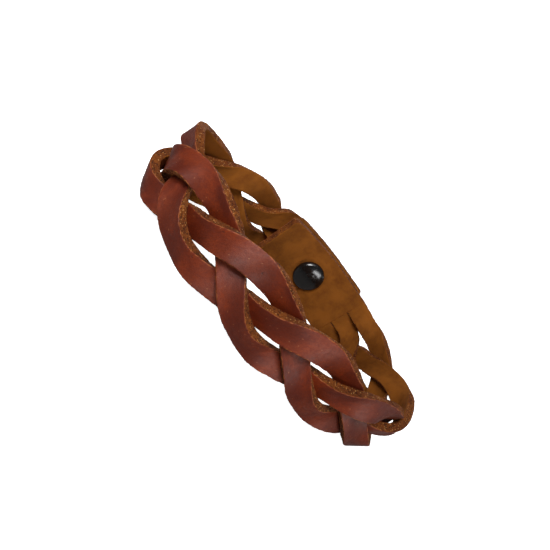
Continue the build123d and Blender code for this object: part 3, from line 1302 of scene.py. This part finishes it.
@dataclass(frozen=True)
class CutEdge:
    """The raw cut edge of the hide: orange tan, pitted and fibrous, with painted shade in its pits."""

    base: Shade = paint(134, 74, 26)
    dark: Shade = paint(96, 47, 16)
    # Painted shade for the inside of the pits.
    pit: Shade = paint(52, 24, 10)
    pale: Shade = paint(192, 136, 80)
    dye: Shade = paint(98, 40, 20)

    def make(self, effects: SharedEffects) -> bpy.types.Material:
        """Build the material."""
        material, wiring, shader = new_finish("cut_edge")
        place = wiring.place("Attribute", attribute_name="hide").outputs["Vector"]
        broad = wiring.group(effects.patches, {"Place": place, "Size": 3.5, "Low": 0.35, "High": 0.65})
        fine = wiring.group(effects.patches, {"Place": place, "Size": 0.4, "Low": 0.4, "High": 0.6})
        fibre = wiring.group(effects.fibres, {"Place": place, "Size": 0.4, "Cells": 0.45})
        colour = wiring.mix(broad, self.dark, self.base)
        colour = wiring.mix(wiring.maths("MULTIPLY", fine, 0.6), colour, self.dark)
        pits = wiring.group(effects.specks, {"Place": place, "Size": 0.4, "Share": 0.5, "Radius": 0.5})
        pale = wiring.group(effects.specks, {"Place": place, "Size": 0.36, "Share": 0.3, "Radius": 0.42})
        colour = wiring.mix(wiring.maths("MULTIPLY", pale, 0.85), colour, self.pale)
        # Painted shade: the pits that the bump dents are darkened as if shade fell in them.
        colour = wiring.mix(wiring.maths("MULTIPLY", pits, 0.8), colour, self.pit)
        depth = wiring.place("SeparateXYZ", {0: place}).outputs[2]
        ragged = wiring.maths("ADD", depth, wiring.spread(fine, 0.0, 1.0, -0.1, 0.1))
        dyed = wiring.spread(ragged, 0.85, 1.02, 0.0, 0.7)
        colour = wiring.mix(dyed, colour, self.dye)
        height = wiring.maths("SUBTRACT", fibre, wiring.maths("MULTIPLY", pits, 0.8))
        bump = wiring.place("Bump", {"Strength": 0.9, "Distance": 0.00016, "Height": height})
        set_surface(
            wiring,
            shader,
            {"Base Color": colour, "Roughness": 0.95, "Normal": bump.outputs[0], "Specular IOR Level": 0.2},
        )
        return material


@dataclass(frozen=True)
class CapLacquer:
    """The glossy black lacquer of the caps, with faint rubbing."""

    shade: Shade = paint(14, 13, 13)
    rubbed: Shade = paint(34, 32, 31)
    gloss: tuple[float, float] = (0.16, 0.3)
    coat: float = 0.5

    def make(self, effects: SharedEffects) -> bpy.types.Material:
        """Build the material. Object coordinates are in metres, so the sizes are too."""
        material, wiring, shader = new_finish("cap_lacquer")
        place = wiring.place("TexCoord").outputs["Object"]
        wear = wiring.group(effects.patches, {"Place": place, "Size": 0.0016, "Low": 0.5, "High": 0.78})
        fine = wiring.group(effects.patches, {"Place": place, "Size": 0.0003, "Low": 0.3, "High": 0.7})
        peel = wiring.group(effects.fibres, {"Place": place, "Size": 0.0007, "Cells": 0.0})
        colour = wiring.mix(wiring.maths("MULTIPLY", wear, 0.5), self.shade, self.rubbed)
        rough = wiring.spread(wiring.maths("ADD", fine, wear), 0.0, 2.0, *self.gloss)
        bump = wiring.place("Bump", {"Strength": 0.12, "Distance": 0.00003, "Height": peel})
        set_surface(
            wiring,
            shader,
            {
                "Base Color": colour,
                "Roughness": rough,
                "Normal": bump.outputs[0],
                "Coat Weight": self.coat,
                "Coat Roughness": 0.12,
            },
        )
        return material


@dataclass(frozen=True)
class SpringWire:
    """Bright hard-drawn wire."""

    shade: Shade = paint(168, 165, 158)

    def make(self, effects: SharedEffects) -> bpy.types.Material:
        """Build the material."""
        material, wiring, shader = new_finish("spring_wire_steel")
        place = wiring.place("TexCoord").outputs["Object"]
        fine = wiring.group(effects.patches, {"Place": place, "Size": 0.0002, "Low": 0.3, "High": 0.7})
        rough = wiring.spread(fine, 0.0, 1.0, 0.22, 0.38)
        set_surface(wiring, shader, {"Base Color": self.shade, "Metallic": 1.0, "Roughness": rough})
        return material


class Finishes:
    """Every finish of the wristband, built once. The stud and socket keep the frame's own black metal."""

    def __init__(self) -> None:
        """Build the shared effects and the materials."""
        effects = SharedEffects()
        self.hide = [finish.make(effects) for finish in (GrainSide(), FleshSide(), CutEdge())]
        self.lacquer = CapLacquer().make(effects)
        self.black_metal = bpy.data.materials["black_metal"]
        self.wire = SpringWire().make(effects)


# ---------------------------------------------------------------- the studio


@dataclass(frozen=True)
class SoftLight:
    """An oblong soft light: its place, the point it faces, its size, power and beam angle."""

    name: str
    place: tuple[float, float, float]
    aim: tuple[float, float, float]
    width: float
    height: float
    power: float
    beam: float = 180.0


@dataclass(frozen=True)
class Studio:
    """A pale floor, soft lights and the camera."""

    floor_radius: float = 6.0
    floor_corners: int = 64
    floor_shade: Shade = (0.9, 0.9, 0.9, 1.0)
    floor_bounce: Shade = (0.3, 0.3, 0.3, 1.0)
    floor_glow: float = 0.9
    overhead_from: tuple[float, float, float] = (-0.5, -0.45, 0.74)
    overhead_spread: float = 45.0
    overhead_strength: float = 0.65
    air_light: float = 0.09
    air_shade: float = 1.1
    lights: tuple[SoftLight, ...] = (
        SoftLight("key_softbox", (-0.11, -0.13, 0.13), (-0.035, -0.01, 0.01), 0.08, 0.08, 0.058, 70.0),
        SoftLight("sheen_softbox", (0.2, -0.34, 0.07), (0.02, -0.02, 0.01), 0.2, 0.12, 0.55),
        SoftLight("edge_softbox", (0.3, -0.02, 0.11), (0.0, 0.02, 0.01), 0.1, 0.1, 0.13),
        SoftLight("back_softbox", (-0.05, 0.38, 0.14), (0.0, 0.02, 0.01), 0.3, 0.2, 1.0),
        SoftLight("left_softbox", (-0.3, 0.12, 0.3), (0.0, 0.0, 0.01), 0.12, 0.12, 0.15),
    )
    camera_place: tuple[float, float, float] = (-41.21, -88.83, 42.31)
    camera_yaw: float = 21.755
    camera_pitch: float = 19.326
    camera_roll: float = 56.157
    lens: float = 25.595

    def make_floor(self, height: float) -> None:
        """Lay a round floor under the band, white to look at but giving little light back to the band."""
        corners = self.floor_corners
        angle = np.linspace(0, 2 * np.pi, corners, endpoint=False)
        points = np.column_stack([np.cos(angle), np.sin(angle), np.zeros(corners)]) * self.floor_radius / MM
        points[:, 2] = height / MM
        floor = write_mesh("floor", points, [np.arange(corners)[None, :]])
        material, wiring, shader = new_finish("floor_paper")
        seen = wiring.place("LightPath").outputs["Is Camera Ray"]
        pale = wiring.mix(seen, self.floor_bounce, self.floor_shade)
        glow = wiring.mix(seen, (0.0, 0.0, 0.0, 1.0), (1.0, 1.0, 1.0, 1.0))
        paper = {"Base Color": pale, "Roughness": 1.0, "Specular IOR Level": 0.0}
        set_surface(wiring, shader, {**paper, "Emission Color": glow, "Emission Strength": self.floor_glow})
        floor.data.materials.append(material)
        floor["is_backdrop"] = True

    def make_lights(self) -> None:
        """Place the soft lights and light the surroundings evenly."""
        for light in self.lights:
            data = bpy.data.lights.new(light.name, "AREA")
            data.shape, data.energy = "RECTANGLE", light.power
            data.size, data.size_y = light.width, light.height
            data.spread = np.radians(light.beam)
            lamp = bpy.data.objects.new(light.name, data)
            place = Vector(light.place)
            lamp.location = place
            lamp.rotation_euler = (Vector(light.aim) - place).to_track_quat("-Z", "Y").to_euler()
            bpy.context.scene.collection.objects.link(lamp)
        overhead = bpy.data.lights.new("overhead_light", "SUN")
        overhead.energy, overhead.angle = self.overhead_strength, np.radians(self.overhead_spread)
        lamp = bpy.data.objects.new("overhead_light", overhead)
        lamp.rotation_euler = (-Vector(self.overhead_from)).to_track_quat("-Z", "Y").to_euler()
        bpy.context.scene.collection.objects.link(lamp)
        world = bpy.data.worlds.new("studio_air")
        world.use_nodes = True
        wiring = Wiring(world.node_tree)
        seen = wiring.place("LightPath").outputs["Is Camera Ray"]
        strength = wiring.place("MapRange", {0: seen, 3: self.air_light, 4: self.air_shade})
        wiring.tree.links.new(strength.outputs[0], world.node_tree.nodes["Background"].inputs[1])
        world.node_tree.nodes["Background"].inputs[0].default_value = (1.0, 1.0, 1.0, 1.0)
        bpy.context.scene.world = world
        bpy.context.scene.view_settings.view_transform = "Standard"

    def make_camera(self) -> None:
        """Place the camera, rolled about its line of sight."""
        yaw, pitch, roll = np.radians([self.camera_yaw, self.camera_pitch, self.camera_roll])
        ahead = np.array([np.sin(yaw) * np.cos(pitch), np.cos(yaw) * np.cos(pitch), -np.sin(pitch)])
        level = np.array([np.cos(yaw), -np.sin(yaw), 0.0])
        above = np.cross(level, ahead)
        right = np.cos(roll) * level + np.sin(roll) * above
        up = np.cross(right, ahead)
        data = bpy.data.cameras.new("camera")
        data.lens, data.sensor_width = self.lens, 36.0
        data.clip_start = 0.001
        camera = bpy.data.objects.new("camera", data)
        axes = Matrix(np.column_stack([right, up, -ahead]).tolist()).to_4x4()
        camera.matrix_world = Matrix.Translation(Vector(self.camera_place) * MM) @ axes
        bpy.context.scene.collection.objects.link(camera)
        bpy.context.scene.camera = camera


# ---------------------------------------------------------------- putting it together


def report(piece: bpy.types.Object) -> None:
    """Log a finished piece and its size as a mesh."""
    log.info("%s: %d points, %d faces", piece.name, len(piece.data.vertices), len(piece.data.polygons))


def main() -> None:
    """Dress the frame: braid, tabs and snap, then the studio around them."""
    logging.basicConfig(level=logging.INFO, format="%(name)s: %(message)s")
    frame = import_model()
    hinges = {joint["name"]: Vector(joint["pos_m"]) for joint in frame["joints"]}
    cad_box = [list(corner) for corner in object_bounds()]

    low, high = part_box("outer_cap")
    snap_top = Snap.cap_height - Snap.cap_sink + Strap.thickness / 2
    outer_radius = Clasp.inner_radius + Strap.thickness + Clasp.gap
    snap_middle = np.array([(low.x + high.x) / 2, high.y]) / MM
    centre = snap_middle - [0.0, outer_radius + snap_top]
    clasp = Clasp(centre, (low.z + high.z) / 2 / MM)
    plan = BandPlan(clasp)
    snap = Snap(clasp)
    finishes = Finishes()

    Braid(plan, hinges).build(finishes.hide)
    inner = Tab(
        "inner_tab", clasp, clasp.inner_radius, clasp.inner_root, clasp.inner_end,
        plan.length, snap.stud, snap.inner_cap,
    ).build(finishes.hide)
    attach(inner, "back_right")
    report(inner)
    outer = Tab(
        "outer_tab", clasp, clasp.outer_radius, clasp.outer_root, clasp.outer_end,
        0.0, snap.outer_cap, snap.socket,
    ).build(finishes.hide)
    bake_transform(outer)
    report(outer)
    snap.build(finishes)

    studio = Studio()
    studio.make_floor(cad_box[0][2])
    studio.make_lights()
    studio.make_camera()


if __name__ == "__main__":
    main()
